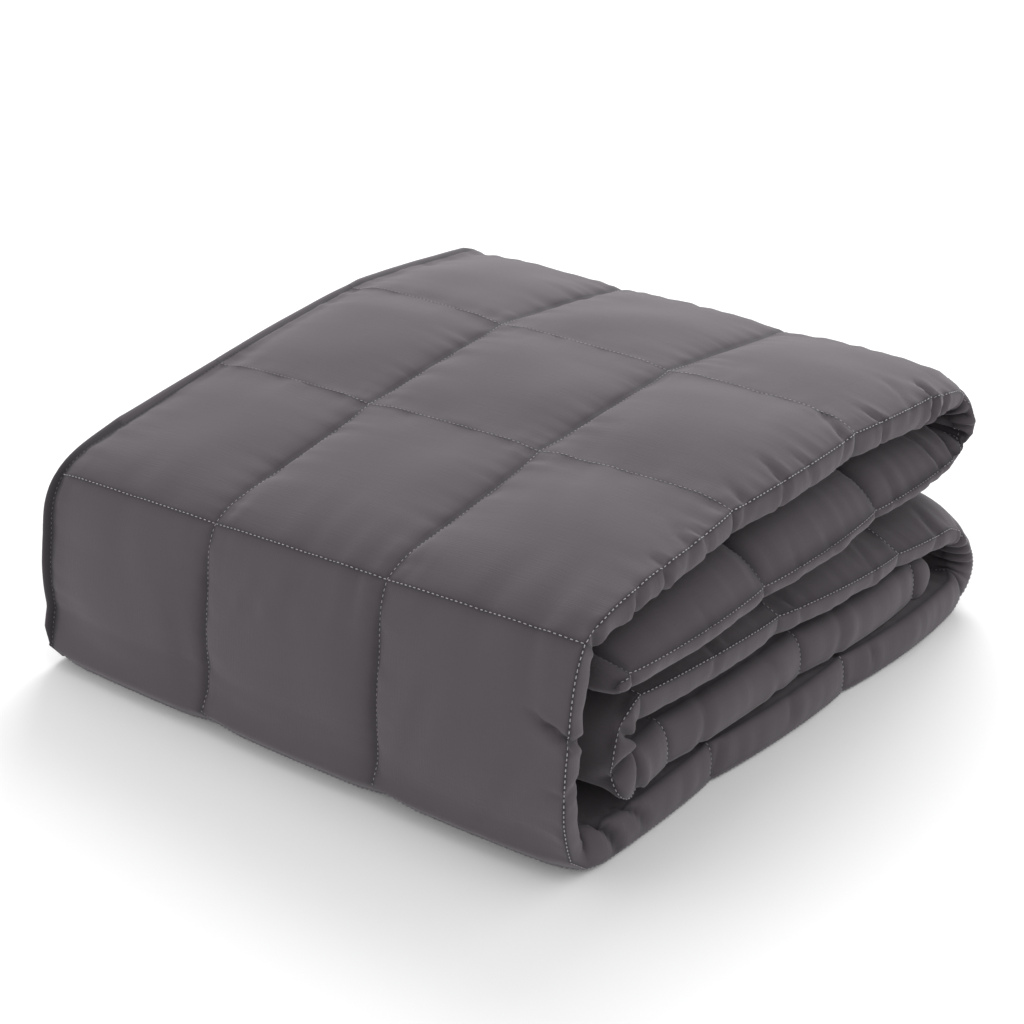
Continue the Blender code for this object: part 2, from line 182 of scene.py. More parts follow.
# One row for each crease in the right rim. Part is the number of a run times two, and one more for the
# turn after it. Share is where the crease is along that part, start and end are how far it reaches, measured
# round the rim from its stitch line, with the outer face below 0. Slant is how far it shifts for each metre
# of that.
Crease = namedtuple("Crease", "part share start end depth width slant")
CREASES = [Crease(*row) for row in (
    (2, 0.965, -0.012, 0.022, 0.0030, 0.0028, 0.20),
    (2, 0.905, -0.020, 0.014, 0.0014, 0.0036, 0.50),
    (2, 0.840, -0.016, 0.022, 0.0016, 0.0030, -0.25),
    (2, 0.735, -0.022, 0.018, 0.0014, 0.0034, 0.40),
    (2, 0.630, -0.022, 0.022, 0.0022, 0.0030, 0.30),
    (2, 0.540, -0.014, 0.018, 0.0014, 0.0028, -0.20),
    (2, 0.430, -0.030, 0.020, 0.0018, 0.0036, 0.50),
    (2, 0.289, -0.016, 0.022, 0.0026, 0.0026, -0.20),
    (2, 0.215, -0.030, 0.012, 0.0012, 0.0036, 0.60),
    (2, 0.126, -0.016, 0.026, 0.0066, 0.0034, 0.45),
    (2, 0.072, -0.003, 0.024, 0.0038, 0.0030, 0.45),
    (3, 0.150, -0.004, 0.024, 0.0030, 0.0030, 0.30),
    (0, 0.975, 0.012, 0.060, 0.0036, 0.0034, 0.40),
    (0, 0.935, 0.010, 0.052, 0.0028, 0.0030, -0.20),
    (0, 0.760, 0.006, 0.034, 0.0010, 0.0034, 0.40),
    (0, 0.560, 0.006, 0.032, 0.0009, 0.0034, -0.30),
    (0, 0.450, 0.010, 0.030, 0.0009, 0.0030, 0.30),
    (0, 0.200, 0.006, 0.032, 0.0010, 0.0032, 0.30),
    (1, 0.640, 0.001, 0.050, 0.0070, 0.0040, -0.10),
    (1, 0.800, -0.006, 0.026, 0.0018, 0.0026, 0.20),
    (1, 0.420, 0.003, 0.036, 0.0018, 0.0026, 0.20),
    (1, 0.240, 0.002, 0.046, 0.0050, 0.0034, 0.20),
    (1, 0.110, 0.002, 0.036, 0.0030, 0.0030, 0.40),
    (7, 0.800, -0.010, 0.034, 0.0034, 0.0028, 0.20),
    (7, 0.640, 0.001, 0.036, 0.0030, 0.0026, 0.10),
    (7, 0.500, 0.002, 0.036, 0.0026, 0.0024, 0.00),
    (7, 0.370, 0.003, 0.036, 0.0030, 0.0026, -0.10),
    (7, 0.230, 0.002, 0.034, 0.0022, 0.0028, -0.20),
    (8, 0.060, -0.024, 0.014, 0.0016, 0.0034, 0.40),
    (8, 0.300, -0.020, 0.014, 0.0014, 0.0034, 0.40),
    (8, 0.520, -0.020, 0.014, 0.0016, 0.0032, -0.30),
    (8, 0.800, -0.020, 0.014, 0.0016, 0.0034, 0.40),
    (9, 0.300, -0.004, 0.040, 0.0048, 0.0036, 0.30),
    (9, 0.560, -0.012, 0.034, 0.0058, 0.0046, -0.35),
    (9, 0.920, -0.006, 0.034, 0.0040, 0.0032, -0.30),
    (10, 0.200, -0.012, 0.026, 0.0014, 0.0045, 0.40),
    (10, 0.420, -0.012, 0.026, 0.0012, 0.0050, -0.30),
    (10, 0.640, -0.012, 0.026, 0.0014, 0.0045, 0.30),
    (6, 0.015, 0.000, 0.030, 0.0055, 0.0040, -0.60),
    (6, 0.085, 0.004, 0.026, 0.0036, 0.0036, -0.80),
    (6, 0.300, 0.002, 0.018, 0.0014, 0.0032, 0.40),
    (6, 0.480, 0.004, 0.022, 0.0012, 0.0040, 0.30),
    (6, 0.720, 0.002, 0.020, 0.0014, 0.0032, -0.30),
    (4, 0.150, -0.026, 0.020, 0.0042, 0.0028, 0.30),
    (4, 0.520, -0.014, 0.018, 0.0016, 0.0034, -0.20),
    (3, 0.520, -0.005, 0.022, 0.0030, 0.0030, 0.30),
)]

# One row for each soft fold of the outer face. Part and share are as for a crease, across is measured from
# the left rim, and the fold runs along the strip for its length.
Fold = namedtuple("Fold", "part share across length width depth slant")
FOLDS = [Fold(*row) for row in (
    (3, 0.62, 0.196, 0.070, 0.0070, 0.0016, 0.10),
    (3, 0.66, 0.213, 0.060, 0.0055, 0.0012, 0.04),
    (3, 0.60, 0.236, 0.050, 0.0050, 0.0010, -0.05),
    (3, 0.64, 0.060, 0.060, 0.0080, 0.0010, 0.12),
    (3, 0.60, 0.318, 0.060, 0.0070, 0.0012, -0.10),
    (3, 0.62, 0.352, 0.070, 0.0060, 0.0014, 0.10),
    (2, 0.80, 0.290, 0.080, 0.0100, 0.0010, 0.40),
    (2, 0.45, 0.330, 0.070, 0.0090, 0.0010, 0.50),
    (4, 0.60, 0.110, 0.060, 0.0080, 0.0010, 0.10),
    (3, 0.92, 0.168, 0.030, 0.0045, 0.0015, -0.45),
    (3, 0.88, 0.192, 0.028, 0.0045, 0.0012, -0.40),
    (4, 0.35, 0.290, 0.060, 0.0070, 0.0010, -0.35),
    (4, 0.70, 0.345, 0.050, 0.0060, 0.0014, -0.60),
)]

# ---- The strip's middle line ----

Spot = namedtuple("Spot", "back up half outer_edge inner_edge fold bulge slope inner_slope out turning")


def mix(a, b, share):
    return a + (b - a) * share


def ease(share):
    return share * share * (3.0 - 2.0 * share)


def puff(share, power=PUFF):
    """Height of a square's crown between its seams, 0 on a seam and 1 in the middle."""
    return max(math.sin(math.pi * share), 0.0) ** power


def direction(a, b):
    """The direction from one point to another, as its shares back and up."""
    length = math.dist(a[:2], b[:2])
    return (b[0] - a[0]) / length, (b[1] - a[1]) / length


def on_run(run, share):
    """A point of the run's middle line."""
    back, up = direction((run.back, run.up), (run.end_back, run.end_up))
    rise = run.bow * math.sin(math.pi * share)
    return mix(run.back, run.end_back, share) + up * rise, mix(run.up, run.end_up, share) - back * rise


def heading(run, share):
    """The direction in which the run's middle line goes."""
    step = 0.01
    return direction(on_run(run, max(share - step, 0.0)), on_run(run, min(share + step, 1.0)))


def on_curve(share, *corners):
    """A point of the cubic curve between the first and the last of four corners."""
    weights = ((1 - share) ** 3, 3 * share * (1 - share) ** 2, 3 * share**2 * (1 - share), share**3)
    return tuple(sum(weight * value for weight, value in zip(weights, values)) for values in zip(*corners))


def on_turn(run, following, share):
    """A point of the round turn from the end of one run to the start of the next."""
    start, finish = on_run(run, 1.0), on_run(following, 0.0)
    leave, arrive = heading(run, 1.0), heading(following, 0.0)
    angle = math.acos(max(-1.0, min(1.0, leave[0] * arrive[0] + leave[1] * arrive[1])))
    reach = math.dist(start, finish) * 2.0 / 3.0 * math.tan(angle / 4.0) / math.sin(angle / 2.0)
    reach *= run.corner
    first = (start[0] + leave[0] * reach, start[1] + leave[1] * reach)
    second = (finish[0] - arrive[0] * reach, finish[1] - arrive[1] * reach)
    return on_curve(share, start, first, second, finish)


def run_spot(index, share):
    run, rim = RUNS[index], RIMS[index]
    arch = math.sin(math.pi * share)
    return Spot(
        *on_run(run, share),
        half=mix(run.half, run.end_half, share) + run.swell * arch,
        outer_edge=mix(rim.outer_edge, rim.end_outer_edge, share) + rim.sag * arch,
        inner_edge=mix(rim.inner_edge, rim.end_inner_edge, share) + rim.sag * arch,
        fold=rim.fold,
        bulge=rim.bulge,
        slope=rim.slope,
        inner_slope=rim.inner_slope,
        out=mix(rim.out, rim.end_out, ease(share)),
        turning=0.0,
    )


def turn_spot(index, share):
    before, after = run_spot(index, 1.0), run_spot(index + 1, 0.0)
    blended = [mix(a, b, ease(share)) for a, b in zip(before[2:], after[2:])]
    blended[-1] = math.sin(math.pi * share)
    return Spot(*on_turn(RUNS[index], RUNS[index + 1], share), *blended)


def middle_line(samples=60):
    """The strip's middle line as spots, how far along each one is, and where its cross seams are."""
    spots, seams, marks = [], [], []
    for index, run in enumerate(RUNS):
        spots += [run_spot(index, i / samples) for i in range(samples)]
        length = math.dist(on_run(run, 0.0), on_run(run, 1.0))
        place = run.first_seam
        while place is not None and place < length:
            marks.append((index * 2 * samples) + place / length * samples)
            place += SQUARE
        if index + 1 < len(RUNS):
            spots += [turn_spot(index, i / samples) for i in range(samples)]
            marks += [(index * 2 + 1 + seam) * samples for seam in run.turn_seams]
    spots.append(run_spot(len(RUNS) - 1, 1.0))
    along = [0.0]
    for a, b in zip(spots, spots[1:]):
        along.append(along[-1] + math.dist(a[:2], b[:2]))
    for mark in marks:
        seams.append(mix(along[int(mark)], along[int(mark) + 1], mark % 1.0))
    starts = [along[index * 2 * samples] for index in range(len(RUNS))]
    ends = [along[min((index * 2 + 1) * samples, len(along) - 1)] for index in range(len(RUNS))]
    return spots, along, seams, list(zip(starts, ends))


class Strip:
    """The folded strip: gives the frame, thickness and crown at any distance along its middle line."""

    def __init__(self):
        self.spots, self.along, self.seams, self.runs = middle_line()
        self.length = self.along[-1]
        self.edges = [0.0, *self.seams, self.length]

    def spot(self, place):
        i = min(bisect_right(self.along, place), len(self.along) - 1) - 1
        i = max(i, 0)
        share = (place - self.along[i]) / (self.along[i + 1] - self.along[i])
        return Spot(*(mix(a, b, share) for a, b in zip(self.spots[i], self.spots[i + 1])))

    def ahead(self, place, step=0.002):
        """The direction in which the middle line goes."""
        return direction(self.spot(max(place - step, 0.0)), self.spot(min(place + step, self.length)))

    def bend(self, place, step=0.004):
        """How sharply the middle line turns here, in radians for each metre."""
        a, b = self.ahead(max(place - step, 0.0)), self.ahead(min(place + step, self.length))
        return abs(math.atan2(a[0] * b[1] - a[1] * b[0], a[0] * b[0] + a[1] * b[1])) / (2 * step)

    def inner_share(self, place):
        """Length of the inner face for each metre of the middle line: 1 on the straight, less in a turn."""
        return 1.0 - min(self.spot(place).half * self.bend(place), TIGHTEST)

    def square(self, place):
        """Number of the square that a place is in, where it starts and where it ends."""
        i = min(max(bisect_right(self.edges, place), 1), len(self.edges) - 1)
        return i, self.edges[i - 1], self.edges[i]

    def crown(self, place):
        """0 on a cross seam, 1 in the middle of a square. A cut end has no seam."""
        i, low, high = self.square(place)
        share = (place - low) / (high - low)
        if i == 1:
            share = 0.5 + share / 2
        elif i == len(self.edges) - 1:
            share = share / 2
        return puff(share)

    def from_seam(self, place):
        """Distance along the strip to the nearest cross seam."""
        return min(abs(place - seam) for seam in self.seams)

    def at_foot(self, place):
        """True between the squares of the front and those of the bottom."""
        return self.runs[FRONT][0] < place < self.runs[BOTTOM][0] + FOOT_HEIGHT

    def tip(self, place):
        """1 along the strip, falling in a round nose to the thinnest share at its two ends."""
        near_end = min(place, self.length - place, TIP_LENGTH) / TIP_LENGTH
        return mix(TIP_THINNEST, 1.0, math.sqrt(1.0 - (1.0 - near_end) ** 2))

    def stops(self):
        """Where the sections stand: on each seam, crowded beside it, and closer together in the turns."""
        places = []
        for low, high in zip(self.edges, self.edges[1:]):
            grid = [mix(low, high, i / FINE_GRID) for i in range(FINE_GRID + 1)]
            weight = [0.0]
            for a, b in zip(grid, grid[1:]):
                middle = (a + b) / 2
                near = math.exp(-min(middle - low, high - middle) / PUCKER_REACH)
                dense = 1 / (RUN_STEP * (1.0 - RUN_CROWDING * near)) + self.bend(middle) / TURN_STEP
                weight.append(weight[-1] + (b - a) * dense)
            count = max(math.ceil(weight[-1]), 2)
            for i in range(count):
                wanted = weight[-1] * i / count
                j = min(bisect_right(weight, wanted), len(grid) - 1)
                part = (wanted - weight[j - 1]) / (weight[j] - weight[j - 1])
                places.append(mix(grid[j - 1], grid[j], part))
        places.append(self.length)
        return [p for p, q in zip(places, places[1:] + [math.inf]) if q - p > SHORTEST_STEP]


def square_stops(count):
    """Places across one square, crowded towards its seams."""
    turns = [2 * math.pi * i / count for i in range(count)]
    return [i / count - SEAM_CROWDING * math.sin(turn) / (2 * math.pi) for i, turn in enumerate(turns)]


# ---- The strip's section ----

OUTER_STOPS = [square_stops(count) for count in OUTER_STEPS]
INNER_STOPS = [square_stops(count) for count in INNER_STEPS]


def across_heights(half, level, dip, crown, edges, slope, stops):
    """Places across the strip and the height of a face there, from one rim line to the other."""
    found = []
    fall = mix(FULL_FALL, SLOPING_FALL, slope)
    rim_puff = mix(FULL_PUFF, SLOPING_PUFF, slope)
    for square, places in enumerate(stops):
        for stop in places:
            share = (square + stop) / SQUARES_ACROSS
            near_rim = max(abs(2 * share - 1) * SQUARES_ACROSS - (SQUARES_ACROSS - 1), 0.0)
            base = mix(half - dip, edges[round(share)], near_rim**fall)
            power = mix(PUFF, rim_puff, near_rim)
            found.append((share, base + dip * puff(stop, power) * crown))
    found.append((1.0, edges[1]))
    return [(share, height * level) for share, height in found]


def rim_curve(start, finish, bulge, welt=0.0):
    """The folded rim, a round curve from its stitch line to where it turns in under the inner face."""
    rise = start[1] - finish[1]
    bulge += welt
    first = (start[0] + bulge, start[1] - RIM_DROP * rise + WELT_RISE * welt)
    second = (mix(start[0], finish[0], RIM_TUCK) + bulge, finish[1])
    return [on_curve(i / RIM_STEPS, start, first, second, finish) for i in range(1, RIM_STEPS)]


def section(strip, place):
    """The closed section at one place: points as (across, height above the middle line)."""
    spot, crown, tip = strip.spot(place), strip.crown(place), strip.tip(place)
    bend = strip.bend(place)
    inner_half = min(spot.half, TIGHTEST / bend) if bend > 1.0 else spot.half
    out = spot.out - (1.0 - tip) * TIP_LENGTH / 2
    inner_edge = max(spot.inner_edge - TURN_DEPTH * spot.turning, -inner_half)
    fold = spot.fold + TURN_FOLD * spot.turning
    stretched = spot.turning * max(1.0 - spot.back / FRONT_EDGE, 0.0)
    at_foot = stretched * max(1.0 - spot.up / FOOT_HEIGHT, 0.0)
    at_shoulder = stretched if spot.up > SHOULDER_HEIGHT else 0.0
    dip = SEAM_DIP * (1.0 - FLAT_SEAMS * stretched)
    back_turning = spot.turning * min(max(spot.back, 0.0) / BACK_EDGE, 1.0)
    right_edge = spot.outer_edge - TURN_SINK * back_turning - FOOT_SINK * at_foot
    right_edge -= CORNER_SINK * max(1.0 - abs(place - strip.runs[TOP][0]) / CORNER_REACH, 0.0)
    slope = spot.slope * (1.0 - TURN_FULL * back_turning)
    edges = (spot.outer_edge, right_edge)
    outer = across_heights(spot.half, 1.0, dip, crown, edges, slope, OUTER_STOPS)
    dip = min(SEAM_DIP, inner_half / DEEPEST_PART)
    edges = (-inner_edge, -inner_edge)
    inner = across_heights(inner_half, -1.0, dip, crown, edges, spot.inner_slope, INNER_STOPS[::-1])
    right_x = WIDTH / 2 + out + TURN_OUT * back_turning + SCALLOP * (crown - SCALLOP_LEVEL)
    left_x = -WIDTH / 2 - out
    lift = SHOULDER_LIFT * at_shoulder
    outer = [(share, height + lift * max(1.0 - share / LIFT_REACH, 0.0) ** 2) for share, height in outer]
    outer = [(mix(left_x, right_x, share), height * tip) for share, height in outer]
    inner = [(mix(right_x - fold, left_x + fold, share), height * tip) for share, height in inner]
    bulge = spot.bulge * mix(PINCHED, 1.0, crown)
    right = rim_curve(outer[-1], inner[0], bulge)
    welt = 1.0 - TURN_WELT * back_turning - FOOT_WELT * at_foot + SHOULDER_WELT * at_shoulder
    welt *= LEFT_WELT * tip
    left = rim_curve((-outer[0][0], outer[0][1]), (-inner[-1][0], inner[-1][1]), bulge, welt)
    left = [(-x, height) for x, height in reversed(left)]
    return outer, right, inner, left


# ---- Numbers of a section's points, round its loop ----

OUTER_COUNT = sum(OUTER_STEPS) + 1
INNER_COUNT = sum(INNER_STEPS) + 1
RIGHT_START = OUTER_COUNT
INNER_START = RIGHT_START + RIM_STEPS - 1
LEFT_START = INNER_START + INNER_COUNT
OUTER_SEAMS = [sum(OUTER_STEPS[:i]) for i in range(SQUARES_ACROSS + 1)]
INNER_SEAMS = [INNER_START + sum(INNER_STEPS[::-1][:i]) for i in range(SQUARES_ACROSS + 1)]


def loop_cloth_lines():
    """For each point of a section: its side, and how far across it is, or how far round a rim from 0 to 1."""
    rows = []
    for squares, face in ((OUTER_STOPS, "outer"), (INNER_STOPS[::-1], "inner")):
        for number, stops in enumerate(squares):
            rows += [(face, (number + stop) * SQUARE) for stop in stops]
        rows.append((face, WIDTH))
    outer, inner = rows[:OUTER_COUNT], rows[OUTER_COUNT:]
    rim = [("rim", i / RIM_STEPS) for i in range(1, RIM_STEPS)]
    left = [("left rim", 1 - i / RIM_STEPS) for i in range(1, RIM_STEPS)]
    return outer + rim + inner + left


def pucker(place, line, depth, length=PUCKER_LENGTH):
    """A ripple along a seam: place is the distance along it and line a number of its own for each seam."""
    wave = noise.noise(Vector((place / length, line * NOISE_ROWS[0], 0.0)))
    small = noise.noise(Vector((place / length * SHORT_WAVE, line * NOISE_ROWS[1], SHORT_LAYER)))
    return depth * (wave * PUCKER_SHARES[0] + small * PUCKER_SHARES[1])


def beside_seam(ripple, from_seam, from_crossing, reach):
    """A ripple as it stands beside its seam: flat on the seam and at a crossing, and fading away from it."""
    lift = min(from_seam / SEAM_FLAT, 1.0) * math.exp(-from_seam / reach)
    return ripple * lift * min(from_crossing / CROSSING_FLAT, 1.0)


def fold_relief(place, across, folds):
    """The soft folds of the outer face, as low rounded hollows."""
    relief = 0.0
    for fold, middle in folds:
        along = (place - middle) / fold.length
        if abs(along) < 1.0:
            aside = (across - fold.across - fold.slant * (place - middle)) / fold.width
            heap = FOLD_HEAP * math.exp(-((abs(aside) - FOLD_HEAP_PLACE) ** 2))
            relief += fold.depth * math.cos(along * math.pi / 2) ** 2 * (heap - math.exp(-(aside**2)))
    return relief


def along_strip(strip, rows):
    """Each row of a table of creases or folds, with its place along the strip."""
    bounds = [edge for run in strip.runs for edge in run]
    return [(row, mix(bounds[row.part], bounds[row.part + 1], row.share)) for row in rows]


def round_rim(face, across):
    """Distance round the section from the right rim's stitch line, with the outer face below 0."""
    return {
        "outer": across - WIDTH, "rim": across * RIM_SPAN, "inner": RIM_SPAN + across,
        "left rim": -WIDTH - RIM_SPAN * across,
    }[face]


def crease_relief(place, along_rim, creases):
    """The creases of the right rim: a groove each, with the cloth heaped up a little on both sides.

    Also gives the shade painted in them, from 0 to 1.
    """
    relief, shade = 0.0, 0.0
    for crease, middle in creases:
        from_crease = (place - middle - crease.slant * (along_rim - RIM_SPAN / 2)) / crease.width
        if abs(from_crease) > CREASE_SPAN or not crease.start < along_rim < crease.end:
            continue
        share = (along_rim - crease.start) / (crease.end - crease.start)
        fade = math.sin(math.pi * share) ** CREASE_FADE
        groove = math.exp(-(from_crease**2))
        heap = math.exp(-((abs(from_crease) - HEAP_PLACE) ** 2))
        relief += crease.depth * fade * (CREASE_HEAP * heap - groove)
        shade += crease.depth / DEEP_CREASE * fade * groove**2
    return relief, min(shade, 1.0)


def left_groove(strip, place):
    """Depth of the groove along the left hem, less than 0 along the top, where the hem is nearly level."""
    over_top = min(max(strip.runs[TOP][1] - place, 0.0) / GROOVE_EASE, 1.0)
    return mix(LEFT_GROOVE_DEPTH, TOP_GROOVE_DEPTH, over_top)


def face_relief(strip, place, face, across):
    """How far the skin of the outer or the inner face stands out from the plain pillows."""
    square, low, high = strip.square(place)
    inner = face == "inner"
    near = [abs(across - SQUARE * i) for i in range(SQUARES_ACROSS + 1)]
    seam = near.index(min(near))
    from_long, from_cross = near[seam], strip.from_seam(place)
    at_rim = seam in (0, SQUARES_ACROSS)

    depth = HEM_PUCKER_DEPTH if at_rim else PUCKER_DEPTH
    reach = PUCKER_REACH * (HEM_REACH if at_rim else 1.0)
    line = seam * 10 + (1 if across > SQUARE * seam else 2) + (INNER_LINES if inner else 0)
    relief = beside_seam(pucker(place, line, depth), from_long, from_cross, reach)

    depth = PUCKER_DEPTH * (FOOT_PUCKERS if strip.at_foot(place) and not inner else 1.0)
    after = 1 if place > (low + high) / 2 else 2
    line = CROSS_LINES + square * 3 + after + (INNER_CROSS_LINES if inner else 0)
    relief += beside_seam(pucker(across, line, depth), from_cross, from_long, PUCKER_REACH)

    if not at_rim:
        relief -= LONG_PULL * math.exp(-from_long / PULL_REACH) * min(from_cross / PULL_FLAT, 1.0)
    if inner:
        relief -= INNER_PULL * math.exp(-from_cross / INNER_REACH) * min(from_long / INNER_FLAT, 1.0)
    else:
        drawn = 1.0 - strip.crown(place)
        relief += CROSS_EASE * drawn * math.exp(-from_cross / PULL_REACH) * min(from_long / PULL_FLAT, 1.0)
        if seam == 0:
            relief -= left_groove(strip, place) * math.exp(-((from_long / LEFT_GROOVE_WIDTH) ** 2))

    layer = -LUMP_LAYER if inner else LUMP_LAYER
    lump = noise.noise(Vector((place / LUMP_LENGTH, across / LUMP_LENGTH, layer)))
    pillow = min(from_long / PILLOW_EDGE, 1.0) * min(from_cross / PILLOW_EDGE, 1.0)
    return relief + LUMP_DEPTH * lump * pillow


def rim_relief(strip, place, face, share):
    """How far a rim stands out from its plain round, at a share of the way round it."""
    if face == "rim":
        relief = pucker(place, RIM_WAVE_LINE, RIM_WAVE_DEPTH, RIM_WAVE)
        relief += pucker(place, RIM_PUCKER_LINE, RIM_PUCKER_DEPTH)
        relief += SECOND_FULLER * min(max(strip.runs[SECOND][1] - place, 0.0) / FULLER_EASE, 1.0)
        groove = 0.0
    else:
        relief = pucker(place, LEFT_RIM_LINE, LEFT_PUCKER_DEPTH, RIM_WAVE)
        groove = left_groove(strip, place) * math.exp(-((share * RIM_SPAN / LEFT_GROOVE_WIDTH) ** 2))
    band = math.sin(math.pi * share)
    return relief * band * min(strip.from_seam(place) / RIM_FLAT, 1.0) - groove


def skin_relief(strip, place, face, across):
    """How far the skin stands out from the plain shape at one point of the cloth."""
    relief = face_relief if face in ("outer", "inner") else rim_relief
    return relief(strip, place, face, across)


def in_space(spot, ahead, point):
    """A section point in the stack's own place: across, back and up."""
    across, height = point
    back = spot.back + ahead[1] * height
    up = max(spot.up - ahead[0] * height, 0.0)
    leftward = 0.5 - across / WIDTH
    from_front = min(max(back, 0.0) / SETTLE_REACH, 1.0)
    near_foot = (1.0 - from_front) ** FOOT_FALL * max(1.0 - up / FOOT_HEIGHT, 0.0)
    back -= mix(FOOT_RIGHT, FOOT_LEFT, min(max(leftward, 0.0), 1.0) ** FOOT_SPREAD) * near_foot
    return across, back, up * (1.0 - LEFT_SETTLE * leftward * (1.0 - from_front**SETTLE_EASE))


def outward(points):
    """Unit normals of a grid of points, sections along it and loops round it."""
    round_loop = np.roll(points, -1, axis=1) - np.roll(points, 1, axis=1)
    along = np.gradient(points, axis=0)
    normals = np.cross(along, round_loop)
    lengths = np.linalg.norm(normals, axis=2, keepdims=True)
    return normals / np.maximum(lengths, 1e-12)


def add_creases(strip, places, lines, relief):
    """Adds the creases and soft folds to the relief, and gives the shade painted in the creases."""
    shade = np.zeros_like(relief)
    creases, folds = along_strip(strip, CREASES), along_strip(strip, FOLDS)
    rims = [(number, round_rim(*line)) for number, line in enumerate(lines)]
    rims = [pair for pair in rims if abs(pair[1]) < LONGEST_CREASE]
    for row, place in enumerate(places):
        near = [pair for pair in creases if abs(place - pair[1]) < NEAR_CREASE]
        for number, along_rim in rims if near else ():
            crease, shade[row, number] = crease_relief(place, along_rim, near)
            relief[row, number] += crease
        near = [pair for pair in folds if abs(place - pair[1]) < pair[0].length]
        for number, (_, across) in enumerate(lines[:OUTER_COUNT]) if near else ():
            relief[row, number] += fold_relief(place, across, near)
    return shade


def blanket_grid(strip):
    """The skin's points as a grid, one row for each section, with the sections' places."""
    places = strip.stops()
    plain = []
    for place in places:
        spot, ahead = strip.spot(place), strip.ahead(place)
        loop = [point for side in section(strip, place) for point in side]
        plain.append([in_space(spot, ahead, point) for point in loop])
    plain = np.array(plain)
    shift = -(plain.min(axis=(0, 1)) + plain.max(axis=(0, 1))) / 2
    shift[2] = 0.0
    lines = loop_cloth_lines()
    relief = np.array([[skin_relief(strip, place, *line) for line in lines] for place in places])
    inner_shares = np.array([strip.inner_share(place) for place in places])
    relief[:, INNER_START:LEFT_START] *= inner_shares[:, None]
    shade = add_creases(strip, places, lines, relief)
    points = plain + outward(plain) * relief[:, :, None]
    points[:, :, 2] = np.maximum(points[:, :, 2], 0.0)
    points += shift
    return places, points, shade, shift


def grid_mesh(name, points):
    """One closed skin over the grid, with a band of faces across each loose end."""
    rows, count = points.shape[:2]
    index = np.arange(rows * count).reshape(rows, count)
    following = np.roll(index, -1, axis=1)
    quads = np.stack([index[:-1], following[:-1], following[1:], index[1:]], axis=-1).reshape(-1, 4)
    faces = quads.tolist()
    for row, flip in ((0, False), (rows - 1, True)):
        faces += end_faces(index[row].tolist(), flip)
    mesh = bpy.data.meshes.new(name)
    mesh.from_pydata(points.reshape(-1, 3).tolist(), [], faces)
    mesh.validate()
    mesh.shade_smooth()
    return mesh


def end_faces(loop, flip):
    """Faces that close the loop of a loose end, from its outer side to its inner side."""
    outer = loop[:OUTER_COUNT]
    inner = loop[INNER_START:INNER_START + INNER_COUNT][::-1]
    faces = []
    start = 0
    for outer_steps, inner_steps in zip(OUTER_STEPS, INNER_STEPS):
        ratio = outer_steps // inner_steps
        for _ in range(inner_steps):
            i = len(faces)
            faces.append([*outer[start:start + ratio + 1], inner[i + 1], inner[i]])
            start += ratio
    faces.append([outer[-1], *loop[RIGHT_START:INNER_START], inner[-1]])
    faces.append([inner[0], *loop[LEFT_START:], outer[0]])
    return faces if flip else [face[::-1] for face in faces]


def add_cloth_map(mesh, places):
    """A map of the flat cloth in metres: along the strip, and round its section."""
    rounds = np.array([WIDTH + round_rim(*line) for line in loop_cloth_lines()])
    layer = mesh.uv_layers.new(name="cloth")
    count = len(rounds)
    vertex = np.zeros(len(mesh.loops), int)
    mesh.loops.foreach_get("vertex_index", vertex)
    flat = np.stack([np.array(places)[vertex // count], rounds[vertex % count]], axis=1)
    layer.data.foreach_set("uv", flat.astype(np.float32).ravel())


def from_long_seam(face, across, left_widened):
    """Distance to the nearest long seam, made less where the shade painted along a seam's groove is to be
    wider and darker.
    """
    if face == "left rim":
        return left_widened * RIM_SPAN * across - LEFT_LINE_DARKENED
    if face == "rim":
        return RIM_SPAN * min(across, 1 - across)
    seam = round(across / SQUARE)
    distance = abs(across - SQUARE * seam)
    if face == "outer" and seam == 0:
        return left_widened * distance - LEFT_LINE_DARKENED
    if face == "outer" and seam < SQUARES_ACROSS and across < SQUARE * seam:
        return LEFT_SIDE_WIDENED * distance
    return SEAM_LINE_WIDENED * distance


def add_seam_shades(mesh, strip, places, crease_shade):
    """Distances to the nearest cross seam and long seam, and the creases' shade, from which the cloth's
    shader paints shade along the seams and in the creases.
    """
    lines = loop_cloth_lines()
    cross = np.array([strip.from_seam(place) for place in places])
    widened = np.array([INNER_LINE_WIDENED if face == "inner" else 1.0 for face, _ in lines])
    on_front = np.array([place > strip.runs[TOP][1] for place in places])
    on_top = np.array([from_long_seam(*line, TOP_LINE_WIDENED) for line in lines])
    at_front = np.array([from_long_seam(*line, FRONT_LINE_WIDENED) for line in lines])
    for name, values in (
        ("from_cross_seam", cross[:, None] * widened[None, :]),
        ("from_long_seam", np.where(on_front[:, None], at_front[None, :], on_top[None, :])),
        ("crease_shade", crease_shade),
    ):
        attribute = mesh.attributes.new(name, "FLOAT", "POINT")
        attribute.data.foreach_set("value", values.astype(np.float32).ravel())


# ---- Thread ----

STITCH_PITCH = 0.0031
STITCH_LENGTH = 0.0021
THREAD_RADIUS = 0.00028
SPINDLE = ((-0.5, 0.0), (-0.28, 1.0), (0.28, 1.0), (0.5, 0.0))  # places along a stitch, shares of its radius
STITCH_RAISED = 0.5  # shares of the radius by which its middle is raised and its ends are sunk
LONG_SUNK, LEFT_SUNK, INNER_SUNK = 0.00015, 0.00035, 0.00030  # how deep these stitches lie in the cotton
HEM_CHANGE = 0.4  # the hem's stitches go over to the outer face at this share of the first turn


